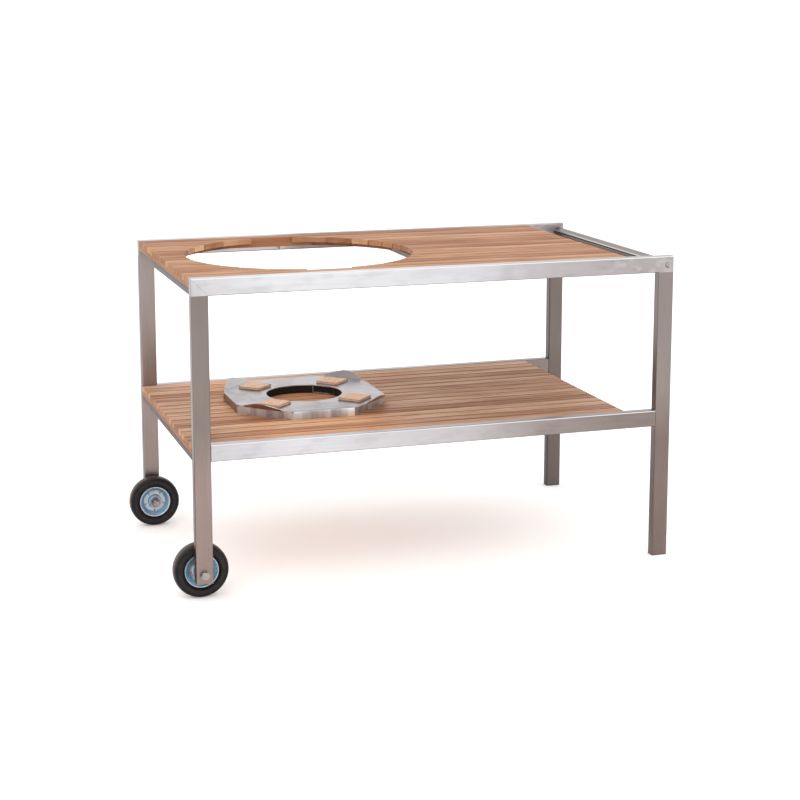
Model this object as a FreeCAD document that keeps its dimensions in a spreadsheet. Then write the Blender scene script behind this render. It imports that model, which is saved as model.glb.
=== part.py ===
import FreeCAD, Part
import math
import os
import re
import Sketcher

# Kamado grill table: a stainless tube frame on two legs and two wheels, teak decks,
# a round cut-out in the top and a loose octagonal tray on the shelf below it.
# Millimetres, +X towards the handle, +Y to the back, +Z up.
# The origin lies on the floor under the middle of the whole object.

document = FreeCAD.newDocument("KamadoGrillTable")
sheet = document.addObject("Spreadsheet::Sheet", "Sizes")

driving_sizes = {
    # frame
    "table_length": 1192,
    "table_depth": 702,
    "table_height": 754,
    "shelf_height": 371,
    "tube_face": 40,
    "tube_side": 25,
    "tube_wall": 1.5,
    "tube_corner": 3,
    "cross_rail_width": 40,
    "cross_rail_height": 15,
    "middle_rail_place": 648,
    # decks
    "handle_bay": 114,
    "deck_side_gap": 1,
    "slat_count": 16,
    "slat_gap": 4,
    "slat_thickness": 13,
    "slat_edge": 1.5,
    "batten_thickness": 11,
    "opening_batten_width": 170,
    "opening_batten_setback": 26,
    "opening_diameter": 563,
    "opening_place": 342,
    "slat_neck": 8,
    # handle
    "handle_diameter": 25,
    "handle_wall": 1.5,
    "handle_inset": 15.5,
    "handle_drop": 22.5,
    "handle_plug_length": 30,
    "handle_bolt_diameter": 8,
    "handle_bolt_length": 48,
    "handle_bolt_head": 14,
    "handle_bolt_dome": 4.5,
    # wheels
    "wheel_diameter": 130,
    "tyre_width": 36,
    "tyre_shoulder": 7,
    "tyre_lip": 5,
    "rim_diameter": 80,
    "rim_seat_diameter": 76,
    "rim_well_diameter": 60,
    "rim_depth": 13,
    "rim_sheet": 2,
    "boss_base_diameter": 34,
    "boss_height": 15,
    "rivet_count": 5,
    "rivet_circle": 47,
    "rivet_head": 7,
    "rivet_dome": 1.4,
    "hub_length": 44,
    "hub_diameter": 24,
    "bush_diameter": 17,
    "axle_diameter": 12,
    "axle_head": 18,
    "axle_head_height": 7.5,
    "axle_nut_height": 10,
    "axle_end": 3,
    "washer_diameter": 24,
    "washer_thickness": 2.5,
    "leg_below_axle": 21.5,
    # small hardware
    "deck_screw_count": 4,
    "deck_screw_diameter": 4.5,
    "deck_screw_bite": 8,
    "deck_screw_head": 9,
    "deck_screw_dome": 3,
    "deck_screw_margin": 60,
    "leg_plug_length": 12,
    "tab_place": 373,
    "tab_width": 16,
    "tab_reach": 10,
    "tab_drop": 12,
    "tab_sheet": 3,
    # tray
    "tray_across": 380,
    "tray_corner": 106,
    "tray_sheet": 2,
    "tray_height": 22,
    "tray_bend": 3,
    "tray_hole": 190,
    "tray_from_left": 357,
    "tray_from_middle": 19,
    "corner_wall_gap": 4.3,
    "corner_wall_lift": 1.5,
    "flap_base": 118,
    "flap_end": 11,
    "flap_length": 31,
    "flap_tip": 24,
    "flap_angle": 36,
    "collar_sheet": 2,
    "collar_setback": 2,
    "collar_lift": 1.5,
    "pad_width": 60,
    "pad_thickness": 6,
    "pad_circle": 290,
    # clearances
    "running_clearance": 0.05,
    "hole_clearance": 0.25,
    "insert_clearance": 0.1,
    "hub_end_gap": 0.3,
}

for row, (alias, size) in enumerate(driving_sizes.items(), start=1):
    sheet.set(f"A{row}", alias)
    sheet.set(f"B{row}", str(size))
    sheet.setAlias(f"B{row}", alias)
document.recompute()

# Places that several pieces share, worked out from the driving sizes.
left_face = "( ( wheel_diameter / 2 - tube_face / 2 - table_length ) / 2 )"
right_face = f"( {left_face} + table_length )"
left_leg_x = f"( {left_face} + tube_face / 2 )"
right_leg_x = f"( {right_face} - tube_face / 2 )"
inner_depth = "( table_depth - 2 * tube_side )"
rail_y = "( table_depth / 2 - tube_side / 2 )"
top_rail_z = "( table_height - tube_face / 2 )"
lower_rail_z = "( shelf_height - tube_face / 2 )"
axle_z = "( wheel_diameter / 2 )"
left_leg_end = f"( {axle_z} - leg_below_axle )"
wheel_y = f"( {inner_depth} / 2 - washer_thickness - hub_end_gap - hub_length / 2 )"
half_face = "tube_face / 2"
batten_z = {
    "top": "( table_height - tube_face + cross_rail_height )",
    "shelf": "( shelf_height - tube_face + cross_rail_height )",
}
shelf_top = f"( {batten_z['shelf']} + batten_thickness + slat_thickness )"
slat_width = f"( ( {inner_depth} - 2 * deck_side_gap - ( slat_count - 1 ) * slat_gap ) / slat_count )"
slat_pitch = f"( {slat_width} + slat_gap )"
deck_length = "( table_length - handle_bay )"
first_slat_y = f"( deck_side_gap + {slat_width} / 2 - {inner_depth} / 2 )"
deck_half_width = f"( {inner_depth} / 2 - deck_side_gap )"
cross_rail_places = {
    "left": "( cross_rail_width / 2 )",
    "middle": "( middle_rail_place + cross_rail_width / 2 )",
    "right": f"( {deck_length} - cross_rail_width / 2 )",
}
handle_x = f"( {right_face} - handle_inset )"
handle_z = "( table_height - handle_drop )"

nodes = []
same_length = 0.01  # how near two measured lengths are when they count as one


# Sizes and places

def on_sheet(formula):
    def name_on_sheet(word):
        return f"Sizes.{word[0]}" if word[0] in driving_sizes else word[0]
    return re.sub("[a-z_]+", name_on_sheet, formula)


def number(formula):
    return float(sheet.evalExpression(on_sheet(formula)))


def place(piece, x="0", y="0", z="0"):
    for axis, formula in zip("xyz", (x, y, z)):
        piece.setExpression(f"Placement.Base.{axis}", on_sheet(formula))


def sub_part(label):
    piece = document.addObject("PartDesign::Body", label)
    piece.Label = label
    nodes.append(piece)
    return piece


# Sketches

def origin_feature(piece, role):
    return next(feature for feature in piece.Origin.OriginFeatures if feature.Role == role)


def sketch_on(piece, role, raised="0", turned=0):
    sketch = piece.newObject("Sketcher::SketchObject", f"{piece.Label}_sketch")
    sketch.AttachmentSupport = (origin_feature(piece, role), [""])
    sketch.MapMode = "FlatFace"
    turn = FreeCAD.Rotation(FreeCAD.Vector(0, 0, 1), turned)
    sketch.AttachmentOffset = FreeCAD.Placement(FreeCAD.Vector(0, 0, number(raised)), turn)
    sketch.setExpression("AttachmentOffset.Base.z", on_sheet(raised))
    return sketch


def constrain(sketch, kind, *where, formula):
    index = sketch.addConstraint(Sketcher.Constraint(kind, *where, number(formula)))
    sketch.setExpression(f"Constraints[{index}]", on_sheet(formula))


def circle(sketch, radius, across="0", up="0"):
    centre = FreeCAD.Vector(number(across), number(up), 0)
    edge = sketch.addGeometry(Part.Circle(centre, FreeCAD.Vector(0, 0, 1), number(radius)), False)
    constrain(sketch, "Radius", edge, formula=radius)
    constrain(sketch, "DistanceX", -1, 1, edge, 3, formula=across)
    constrain(sketch, "DistanceY", -1, 1, edge, 3, formula=up)


def polygon(sketch, corners):
    points = [FreeCAD.Vector(number(across), number(up), 0) for across, up in corners]
    edges = []
    for start, end in zip(points, points[1:] + points[:1]):
        edges.append(sketch.addGeometry(Part.LineSegment(start, end), False))
    for edge, next_edge in zip(edges, edges[1:] + edges[:1]):
        sketch.addConstraint(Sketcher.Constraint("Coincident", edge, 2, next_edge, 1))
    for edge, (across, up) in zip(edges, corners):
        constrain(sketch, "DistanceX", -1, 1, edge, 1, formula=across)
        constrain(sketch, "DistanceY", -1, 1, edge, 1, formula=up)


def rectangle(sketch, left, bottom, right, top):
    polygon(sketch, [(left, bottom), (right, bottom), (right, top), (left, top)])


def rounded_rectangle(sketch, width, height, radius, across="0", up="0"):
    turn = number(radius)
    quarters = [(1, -1), (1, 1), (-1, 1), (-1, -1)]
    centres = []
    for side, level in quarters:
        centres.append(FreeCAD.Vector(
            number(across) + side * (number(width) / 2 - turn),
            number(up) + level * (number(height) / 2 - turn), 0))
    edges = []
    for quarter, centre in enumerate(centres):
        start = math.radians(90 * quarter - 90)
        end = start + math.pi / 2
        rim = Part.Circle(centre, FreeCAD.Vector(0, 0, 1), turn)
        outward = FreeCAD.Vector(math.cos(end), math.sin(end), 0) * turn
        side = Part.LineSegment(centre + outward, centres[(quarter + 1) % 4] + outward)
        edges.append(sketch.addGeometry(Part.ArcOfCircle(rim, start, end), False))
        edges.append(sketch.addGeometry(side, False))
    for edge, next_edge in zip(edges, edges[1:] + edges[:1]):
        sketch.addConstraint(Sketcher.Constraint("Tangent", edge, 2, next_edge, 1))
    for edge in edges[1::4]:
        sketch.addConstraint(Sketcher.Constraint("Vertical", edge))
    for edge in edges[3::4]:
        sketch.addConstraint(Sketcher.Constraint("Horizontal", edge))
    for edge in edges[2::2]:
        sketch.addConstraint(Sketcher.Constraint("Equal", edges[0], edge))
    constrain(sketch, "Radius", edges[0], formula=radius)
    constrain(sketch, "DistanceX", edges[6], 3, edges[0], 3, formula=f"{width} - 2 * {radius}")
    constrain(sketch, "DistanceY", edges[0], 3, edges[2], 3, formula=f"{height} - 2 * {radius}")
    constrain(sketch, "DistanceX", -1, 1, edges[0], 3, formula=f"{across} + {width} / 2 - {radius}")
    constrain(sketch, "DistanceY", -1, 1, edges[0], 3, formula=f"{up} - {height} / 2 + {radius}")


def hexagon(sketch, across_flats):
    corner = f"{across_flats} / sqrt( 3 )"
    polygon(sketch, [
        (corner, "0"), (f"{corner} / 2", f"{across_flats} / 2"), (f"- {corner} / 2", f"{across_flats} / 2"),
        (f"- {corner}", "0"), (f"- {corner} / 2", f"- {across_flats} / 2"),
        (f"{corner} / 2", f"- {across_flats} / 2")])


# Features

def pad(piece, sketch, length, side="One side", reversed_way=False):
    feature = piece.newObject("PartDesign::Pad", f"{piece.Label}_pad")
    feature.Profile = sketch
    feature.SideType = side
    feature.Reversed = reversed_way
    feature.setExpression("Length", on_sheet(length))
    return feature


def cut_through(piece, sketch):
    feature = piece.newObject("PartDesign::Pocket", f"{piece.Label}_cut")
    feature.Profile = sketch
    feature.Type = "ThroughAll"
    feature.SideType = "Symmetric"
    return feature


def revolve(piece, sketch):
    feature = piece.newObject("PartDesign::Revolution", f"{piece.Label}_turned")
    feature.Profile = sketch
    feature.ReferenceAxis = (sketch, ["H_Axis"])
    feature.Angle = 360
    return feature


def repeat_round(piece, feature, axis, count):
    pattern = piece.newObject("PartDesign::PolarPattern", f"{piece.Label}_ring")
    pattern.Originals = [feature]
    pattern.Axis = (origin_feature(piece, axis), [""])
    pattern.Angle = 360
    pattern.setExpression("Occurrences", on_sheet(count))
    piece.Tip = pattern
    return pattern


def mirror_to_back(piece, features):
    pattern = piece.newObject("PartDesign::Mirrored", f"{piece.Label}_pair")
    pattern.Originals = features
    pattern.MirrorPlane = (origin_feature(piece, "XZ_Plane"), [""])
    piece.Tip = pattern


def round_edges(piece, feature, radius, chosen):
    document.recompute()
    names = [f"Edge{index}" for index, edge in enumerate(feature.Shape.Edges, start=1) if chosen(edge)]
    fillet = piece.newObject("PartDesign::Fillet", f"{piece.Label}_rounding")
    fillet.Base = (feature, names)
    fillet.setExpression("Radius", on_sheet(radius))
    return fillet


# Frame

def tube_profile(sketch, width, height):
    rounded_rectangle(sketch, width, height, "tube_corner")
    rounded_rectangle(
        sketch, f"( {width} - 2 * tube_wall )", f"( {height} - 2 * tube_wall )",
        "( tube_corner - tube_wall )")


def leg(label, x, y, bottom, side):
    # The top is cut at 45 degrees: full height at the outer face, one tube lower at the inner face.
    piece = sub_part(label)
    length = f"( table_height - {bottom} )"
    profile = sketch_on(piece, "XY_Plane")
    tube_profile(profile, "tube_face", "tube_side")
    pad(piece, profile, length)
    mitre = sketch_on(piece, "XZ_Plane")
    polygon(mitre, [
        (f"- {side} * tube_face / 2", length), (f"{side} * tube_face / 2", length),
        (f"{side} * tube_face / 2", f"{length} - tube_face")])
    cut_through(piece, mitre)
    hole = sketch_on(piece, "XZ_Plane")
    if bottom == left_leg_end:
        circle(hole, "axle_diameter / 2 + hole_clearance", up="leg_below_axle")
    else:
        circle(hole, "handle_bolt_diameter / 2 + hole_clearance",
               "tube_face / 2 - handle_inset", f"{length} - handle_drop")
    cut_through(piece, hole)
    place(piece, x, y, bottom)


def top_rail(label, y):
    piece = sub_part(label)
    profile = sketch_on(piece, "YZ_Plane")
    tube_profile(profile, "tube_side", "tube_face")
    pad(piece, profile, "table_length")
    mitres = sketch_on(piece, "XZ_Plane")
    polygon(mitres, [("0", half_face), ("0", f"- {half_face}"), ("tube_face", f"- {half_face}")])
    polygon(mitres, [
        ("table_length", half_face), ("table_length - tube_face", f"- {half_face}"),
        ("table_length", f"- {half_face}")])
    cut_through(piece, mitres)
    place(piece, left_face, y, top_rail_z)


def lower_rail(label, y):
    piece = sub_part(label)
    profile = sketch_on(piece, "YZ_Plane")
    tube_profile(profile, "tube_side", "tube_face")
    pad(piece, profile, "table_length - 2 * tube_face")
    place(piece, f"{left_face} + tube_face", y, lower_rail_z)


def deck_screw_rows():
    count = int(number("deck_screw_count"))
    span = f"( {inner_depth} - 2 * deck_screw_margin )"
    return [f"( {step} / {count - 1} - 0.5 ) * {span}" for step in range(count)]


def cross_rail(label, place_along, deck):
    piece = sub_part(label)
    profile = sketch_on(piece, "XZ_Plane")
    tube_profile(profile, "cross_rail_width", "cross_rail_height")
    pad(piece, profile, inner_depth, side="Symmetric")
    holes = sketch_on(piece, "XY_Plane")
    for y in deck_screw_rows():
        circle(holes, "deck_screw_diameter / 2 + hole_clearance", up=y)
    cut_through(piece, holes)
    place(piece, f"{left_face} + {place_along}", "0", f"{batten_z[deck]} - cross_rail_height / 2")


def leg_plugs():
    piece = sub_part("leg_plugs")
    pads = []
    for x, bottom in ((left_leg_x, left_leg_end), (right_leg_x, "0")):
        profile = sketch_on(piece, "XY_Plane", raised=bottom)
        rounded_rectangle(
            profile, "( tube_face - 2 * tube_wall - 2 * insert_clearance )",
            "( tube_side - 2 * tube_wall - 2 * insert_clearance )",
            "( tube_corner - tube_wall - insert_clearance )", x, f"- {rail_y}")
        pads.append(pad(piece, profile, "leg_plug_length"))
    mirror_to_back(piece, pads)


# Decks

def deck_batten(label, place_along, deck):
    piece = sub_part(label)
    outline = sketch_on(piece, "XY_Plane")
    rectangle(outline, "- cross_rail_width / 2", f"- {deck_half_width}",
              "cross_rail_width / 2", deck_half_width)
    pad(piece, outline, "batten_thickness")
    holes = sketch_on(piece, "XY_Plane")
    for y in deck_screw_rows():
        circle(holes, "deck_screw_diameter / 2", up=y)
    cut_through(piece, holes)
    place(piece, f"{left_face} + {place_along}", "0", batten_z[deck])


def opening_batten(label, side):
    # A wide board under the cut slats. It follows the round edge a little way back from it.
    piece = sub_part(label)
    outline = sketch_on(piece, "XY_Plane")
    middle = f"{side} * ( opening_diameter - opening_batten_width ) / 2"
    end = f"( {deck_half_width} - {slat_width} )"
    rectangle(outline, f"{middle} - opening_batten_width / 2", f"- {end}",
              f"{middle} + opening_batten_width / 2", end)
    pad(piece, outline, "batten_thickness")
    opening = sketch_on(piece, "XY_Plane")
    circle(opening, "opening_diameter / 2 + opening_batten_setback")
    cut_through(piece, opening)
    place(piece, f"{left_face} + opening_place", "0", batten_z["top"])


def edge_strips():
    piece = sub_part("top_edge_strips")
    outline = sketch_on(piece, "XY_Plane")
    rectangle(outline, "cross_rail_width", f"- {deck_half_width}",
              "middle_rail_place", f"{slat_width} - {deck_half_width}")
    strip = pad(piece, outline, "batten_thickness")
    mirror_to_back(piece, [strip])
    if number(f"{deck_half_width} - {slat_width} - opening_diameter / 2") < 0:
        opening = sketch_on(piece, "XY_Plane")
        circle(opening, "opening_diameter / 2", "opening_place")
        cut_through(piece, opening)
    place(piece, left_face, "0", batten_z["top"])


def slat_profile(piece, up="0"):
    profile = sketch_on(piece, "YZ_Plane")
    rounded_rectangle(profile, slat_width, "slat_thickness", "slat_edge", up)
    return pad(piece, profile, deck_length)


def top_slat(index):
    piece = sub_part(f"top_slat_{index + 1:02d}")
    slat_profile(piece)
    row_y = f"( {first_slat_y} + {index} * {slat_pitch} )"
    inner_edge = abs(number(row_y)) - number(slat_width) / 2
    outer_edge = abs(number(row_y)) + number(slat_width) / 2
    radius = number("opening_diameter / 2")
    if inner_edge < radius:
        opening = sketch_on(piece, "XY_Plane")
        circle(opening, "opening_diameter / 2", "opening_place", f"- {row_y}")
        cut_through(piece, opening)
    if abs(outer_edge - radius) < number("slat_neck"):
        # What the round cut leaves too thin to stand is sawn straight across.
        neck = sketch_on(piece, "XY_Plane")
        solid_from = f"( abs( {row_y} ) + {slat_width} / 2 - slat_neck )"
        half_neck = f"sqrt( ( opening_diameter / 2 ) ^ 2 - {solid_from} ^ 2 )"
        rectangle(neck, f"opening_place - {half_neck}", f"- {slat_width}",
                  f"opening_place + {half_neck}", slat_width)
        cut_through(piece, neck)
    place(piece, left_face, row_y, f"{batten_z['top']} + batten_thickness + slat_thickness / 2")


def shelf_slats():
    piece = sub_part("shelf_slats")
    first = slat_profile(piece)
    rows = piece.newObject("PartDesign::LinearPattern", "shelf_slats_rows")
    rows.Originals = [first]
    rows.Direction = (origin_feature(piece, "Y_Axis"), [""])
    rows.setExpression("Length", on_sheet(f"( slat_count - 1 ) * {slat_pitch}"))
    rows.setExpression("Occurrences", on_sheet("slat_count"))
    piece.Tip = rows
    place(piece, left_face, first_slat_y, f"{batten_z['shelf']} + batten_thickness + slat_thickness / 2")


def deck_screws():
    # Driven up through the cross rails into the battens.
    piece = sub_part("deck_screws")
    for deck in batten_z:
        head_z = f"{batten_z[deck]} - cross_rail_height"
        heads = sketch_on(piece, "XY_Plane", raised=head_z)
        shanks = sketch_on(piece, "XY_Plane", raised=head_z)
        for place_along in cross_rail_places.values():
            for y in deck_screw_rows():
                circle(heads, "deck_screw_head / 2", f"{left_face} + {place_along}", y)
                circle(shanks, "deck_screw_diameter / 2", f"{left_face} + {place_along}", y)
        pad(piece, heads, "deck_screw_dome", reversed_way=True)
        pad(piece, shanks, "cross_rail_height + deck_screw_bite")


def support_tabs():
    # Small angles on the long rails that carry the strips beside the cut-out.
    piece = sub_part("support_tabs")
    outline = sketch_on(piece, "XY_Plane")
    rail_face = f"( - {inner_depth} / 2 )"
    polygon(outline, [
        ("0", rail_face), ("tab_width", rail_face), ("tab_width", f"{rail_face} + tab_sheet"),
        ("tab_sheet", f"{rail_face} + tab_sheet"), ("tab_sheet", f"{rail_face} + tab_reach"),
        ("0", f"{rail_face} + tab_reach")])
    angle = pad(piece, outline, "tab_drop", reversed_way=True)
    mirror_to_back(piece, [angle])
    place(piece, f"{left_face} + tab_place", "0", batten_z["top"])


# Handle

def turned_pair(label, outlines, x, z):
    # Round pieces about a cross axis, one at the front and its mirror image at the back.
    piece = sub_part(label)
    turned = []
    for corners in outlines:
        profile = sketch_on(piece, "YZ_Plane")
        polygon(profile, corners)
        turned.append(revolve(piece, profile))
    mirror_to_back(piece, turned)
    place(piece, x, "0", z)


def ring(start, end, outer, inner):
    return [(start, inner), (end, inner), (end, outer), (start, outer)]


def handle():
    tube = sub_part("handle_tube")
    profile = sketch_on(tube, "XZ_Plane")
    circle(profile, "handle_diameter / 2")
    circle(profile, "handle_diameter / 2 - handle_wall")
    pad(tube, profile, inner_depth, side="Symmetric")
    place(tube, handle_x, "0", handle_z)
    rail_inside = f"( - {inner_depth} / 2 )"
    turned_pair("handle_plugs", [ring(
        rail_inside, f"{rail_inside} + handle_plug_length",
        "handle_diameter / 2 - handle_wall - insert_clearance",
        "handle_bolt_diameter / 2")], handle_x, handle_z)
    rail_outside = "( - table_depth / 2 )"
    tip = f"{rail_outside} + handle_bolt_length"
    turned_pair("handle_bolts", [[
        (f"{rail_outside} - handle_bolt_dome", "0"),
        (f"{rail_outside} - handle_bolt_dome", "handle_bolt_head / 4"),
        (f"{rail_outside} - handle_bolt_dome * 0.6", "handle_bolt_head * 0.43"),
        (rail_outside, "handle_bolt_head / 2"), (rail_outside, "handle_bolt_diameter / 2"),
        (tip, "handle_bolt_diameter / 2"), (tip, "0")]], handle_x, handle_z)


# Wheels

def rim(label, y):
    # Two pressed discs, back to back, riveted round the hub: a raised boss, a flat web,
    # a sloping seat for the tyre and a narrow flange.
    piece = sub_part(label)
    slope = "( ( rim_seat_diameter - rim_well_diameter ) / 2 / rim_depth )"
    under_seat = f"rim_sheet * ( {slope} - sqrt( 1 + {slope} ^ 2 ) )"
    right_side = [
        ("boss_height", "hub_diameter / 2"),
        ("boss_height", "hub_diameter / 2 + rim_sheet"),
        ("rim_sheet", "boss_base_diameter / 2"),
        ("rim_sheet", f"rim_well_diameter / 2 + {under_seat}"),
        ("rim_depth + rim_sheet", f"rim_seat_diameter / 2 + {under_seat}"),
        ("rim_depth + rim_sheet", "rim_diameter / 2"),
        ("rim_depth", "rim_diameter / 2"),
        ("rim_depth", "rim_seat_diameter / 2"),
    ]
    left_side = [(f"- ( {along} )", radius) for along, radius in reversed(right_side)]
    profile = sketch_on(piece, "YZ_Plane")
    polygon(profile, right_side + [("0", "rim_well_diameter / 2")] + left_side)
    revolve(piece, profile)
    head = sketch_on(piece, "XZ_Plane")
    circle(head, "rivet_head / 2", up="rivet_circle / 2")
    rivet = pad(piece, head, "2 * ( rim_sheet + rivet_dome )", side="Symmetric")
    repeat_round(piece, rivet, "Y_Axis", "rivet_count")
    place(piece, left_leg_x, y, axle_z)


def tyre(label, y):
    piece = sub_part(label)
    bead_width = "rim_depth / 4"
    bead_radius = "( rim_well_diameter / 2 + ( rim_seat_diameter - rim_well_diameter ) / 8 )"
    right_side = [
        (bead_width, bead_radius),
        ("rim_depth", "rim_seat_diameter / 2"),
        ("rim_depth", "rim_diameter / 2"),
        ("rim_depth + rim_sheet", "rim_diameter / 2"),
        ("tyre_width / 2", "rim_diameter / 2 + tyre_lip"),
        ("tyre_width / 2", "wheel_diameter / 2"),
    ]
    left_side = [(f"- ( {along} )", radius) for along, radius in reversed(right_side)]
    profile = sketch_on(piece, "YZ_Plane")
    polygon(profile, right_side + left_side)
    solid = revolve(piece, profile)
    tread_radius = number("wheel_diameter / 2")

    def on_tread(edge):
        return isinstance(edge.Curve, Part.Circle) and abs(edge.Curve.Radius - tread_radius) < same_length
    round_edges(piece, solid, "tyre_shoulder", on_tread)
    place(piece, left_leg_x, y, axle_z)


def sleeve(label, outer, inner, y):
    piece = sub_part(label)
    profile = sketch_on(piece, "XZ_Plane")
    circle(profile, outer)
    circle(profile, inner)
    pad(piece, profile, "hub_length", side="Symmetric")
    place(piece, left_leg_x, y, axle_z)


def wheel(end, y):
    tyre(f"wheel_{end}_tyre", y)
    rim(f"wheel_{end}_rim", y)
    sleeve(f"wheel_{end}_hub", "hub_diameter / 2", "bush_diameter / 2", y)
    sleeve(f"wheel_{end}_bush", "bush_diameter / 2", "axle_diameter / 2 + running_clearance", y)


def axle_hardware():
    leg_outside = "( - table_depth / 2 )"
    leg_inside = f"( - {inner_depth} / 2 )"
    nut_washer = f"( {leg_inside} + washer_thickness + 2 * hub_end_gap + hub_length )"
    nut_start = f"( {nut_washer} + washer_thickness )"
    outer, inner = "washer_diameter / 2", "axle_diameter / 2 + hole_clearance"
    turned_pair("axle_washers", [
        ring(f"{leg_outside} - washer_thickness", leg_outside, outer, inner),
        ring(leg_inside, f"{leg_inside} + washer_thickness", outer, inner),
        ring(nut_washer, nut_start, outer, inner)], left_leg_x, axle_z)

    nuts = sub_part("axle_nuts")
    outline = sketch_on(nuts, "XZ_Plane", raised=f"- {nut_start}")
    hexagon(outline, "axle_head")
    circle(outline, "axle_diameter / 2")
    mirror_to_back(nuts, [pad(nuts, outline, "axle_nut_height", reversed_way=True)])
    place(nuts, left_leg_x, "0", axle_z)

    bolts = sub_part("axle_bolts")
    head_face = "( table_depth / 2 + washer_thickness )"
    outline = sketch_on(bolts, "XZ_Plane", raised=head_face)
    hexagon(outline, "axle_head")
    head = pad(bolts, outline, "axle_head_height")
    round_bar = sketch_on(bolts, "XZ_Plane", raised=head_face)
    circle(round_bar, "axle_diameter / 2")
    shank_length = f"{head_face} + {nut_start} + axle_nut_height + axle_end"
    shank = pad(bolts, round_bar, shank_length, reversed_way=True)
    mirror_to_back(bolts, [head, shank])
    place(bolts, left_leg_x, "0", axle_z)


# Tray

def tray():
    # Folded from one sheet: an octagonal plate with a round hole, four long walls bent down,
    # shorter walls under the corners and a five-sided flap bent up at each corner.
    piece = sub_part("base_tray")
    half = "( tray_across / 2 )"
    half_side = "( tray_across / 2 - tray_corner )"
    corner_out = "( ( tray_across - tray_corner ) / sqrt( 2 ) )"
    plate_bottom = "( tray_height - tray_sheet )"
    outline = sketch_on(piece, "XY_Plane", raised=plate_bottom)
    polygon(outline, [
        (half, f"- {half_side}"), (half, half_side), (half_side, half), (f"- {half_side}", half),
        (f"- {half}", half_side), (f"- {half}", f"- {half_side}"), (f"- {half_side}", f"- {half}"),
        (half_side, f"- {half}")])
    circle(outline, "tray_hole / 2")
    pad(piece, outline, "tray_sheet")

    long_wall = sketch_on(piece, "XY_Plane")
    inner_half_side = f"( {half_side} + tray_sheet )"
    polygon(long_wall, [
        (half, f"- {half_side}"), (half, half_side),
        (f"{half} - tray_sheet", inner_half_side), (f"{half} - tray_sheet", f"- {inner_half_side}")])
    repeat_round(piece, pad(piece, long_wall, plate_bottom), "Z_Axis", "4")

    corner_wall = sketch_on(piece, "XY_Plane", raised="corner_wall_lift", turned=45)
    corner_half = "( tray_corner / sqrt( 2 ) - corner_wall_gap )"
    rectangle(corner_wall, f"{corner_out} - tray_sheet", f"- {corner_half}", corner_out, corner_half)
    corner_pad = pad(piece, corner_wall, f"{plate_bottom} - corner_wall_lift")
    repeat_round(piece, corner_pad, "Z_Axis", "4")

    flap = sketch_on(piece, "XY_Plane")
    tilt = FreeCAD.Rotation(FreeCAD.Vector(0, 1, 0), -number("flap_angle"))
    corner_turn = FreeCAD.Rotation(FreeCAD.Vector(0, 0, 1), 45)
    flap.AttachmentOffset = FreeCAD.Placement(FreeCAD.Vector(), corner_turn * tilt)
    flap_root = f"{corner_out} / sqrt( 2 )"
    for axis, formula in (("x", flap_root), ("y", flap_root), ("z", "tray_height")):
        flap.setExpression(f"AttachmentOffset.Base.{axis}", on_sheet(formula))
    polygon(flap, [
        ("- tray_sheet", "- flap_base / 2"), ("flap_end", "- flap_base / 2"),
        ("flap_length", "- flap_tip / 2"), ("flap_length", "flap_tip / 2"),
        ("flap_end", "flap_base / 2"), ("- tray_sheet", "flap_base / 2")])
    flaps = repeat_round(piece, pad(piece, flap, "tray_sheet", reversed_way=True), "Z_Axis", "4")

    top, edge_line = number("tray_height"), number(half)

    def on_long_bend(edge):
        middle = edge.BoundBox.Center
        straight_out = max(abs(middle.x), abs(middle.y))
        return abs(middle.z - top) < same_length and abs(straight_out - edge_line) < same_length
    round_edges(piece, flaps, "tray_bend", on_long_bend)
    place(piece, f"{left_face} + tray_from_left", "tray_from_middle", shelf_top)


def tray_collar():
    # A strip rolled round the hole, under the plate and just clear of the shelf.
    piece = sub_part("tray_collar")
    outline = sketch_on(piece, "XY_Plane", raised="collar_lift")
    circle(outline, "tray_hole / 2 + collar_setback + collar_sheet")
    circle(outline, "tray_hole / 2 + collar_setback")
    pad(piece, outline, "tray_height - tray_sheet - collar_lift")
    place(piece, f"{left_face} + tray_from_left", "tray_from_middle", shelf_top)


def cork_pads():
    piece = sub_part("cork_pads")
    outline = sketch_on(piece, "XY_Plane", turned=45)
    rectangle(outline, "pad_circle / 2 - pad_width / 2", "- pad_width / 2",
              "pad_circle / 2 + pad_width / 2", "pad_width / 2")
    repeat_round(piece, pad(piece, outline, "pad_thickness"), "Z_Axis", "4")
    place(piece, f"{left_face} + tray_from_left", "tray_from_middle", f"{shelf_top} + tray_height")


leg("leg_front_left", left_leg_x, f"- {rail_y}", left_leg_end, 1)
leg("leg_rear_left", left_leg_x, rail_y, left_leg_end, 1)
leg("leg_front_right", right_leg_x, f"- {rail_y}", "0", -1)
leg("leg_rear_right", right_leg_x, rail_y, "0", -1)
for end, y in (("front", f"- {rail_y}"), ("rear", rail_y)):
    top_rail(f"top_rail_{end}", y)
    lower_rail(f"lower_rail_{end}", y)
for name, place_along in cross_rail_places.items():
    cross_rail(f"top_cross_rail_{name}", place_along, "top")
    cross_rail(f"shelf_cross_rail_{name}", place_along, "shelf")
    deck_batten(f"top_batten_{name}", place_along, "top")
    deck_batten(f"shelf_batten_{name}", place_along, "shelf")
leg_plugs()

opening_batten("opening_batten_left", -1)
opening_batten("opening_batten_right", 1)
edge_strips()
for index in range(int(number("slat_count"))):
    top_slat(index)
shelf_slats()
deck_screws()
support_tabs()

handle()
wheel("front", f"- {wheel_y}")
wheel("rear", wheel_y)
axle_hardware()
tray()
tray_collar()
cork_pads()

document.recompute()
failed = [item.Name for item in document.Objects if {"Invalid", "Error"} & set(item.State)]
failed += [node.Label for node in nodes if node.Shape.isNull() or not node.Shape.isValid()]
if failed:
    raise RuntimeError(f"these did not build: {failed}")

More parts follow.
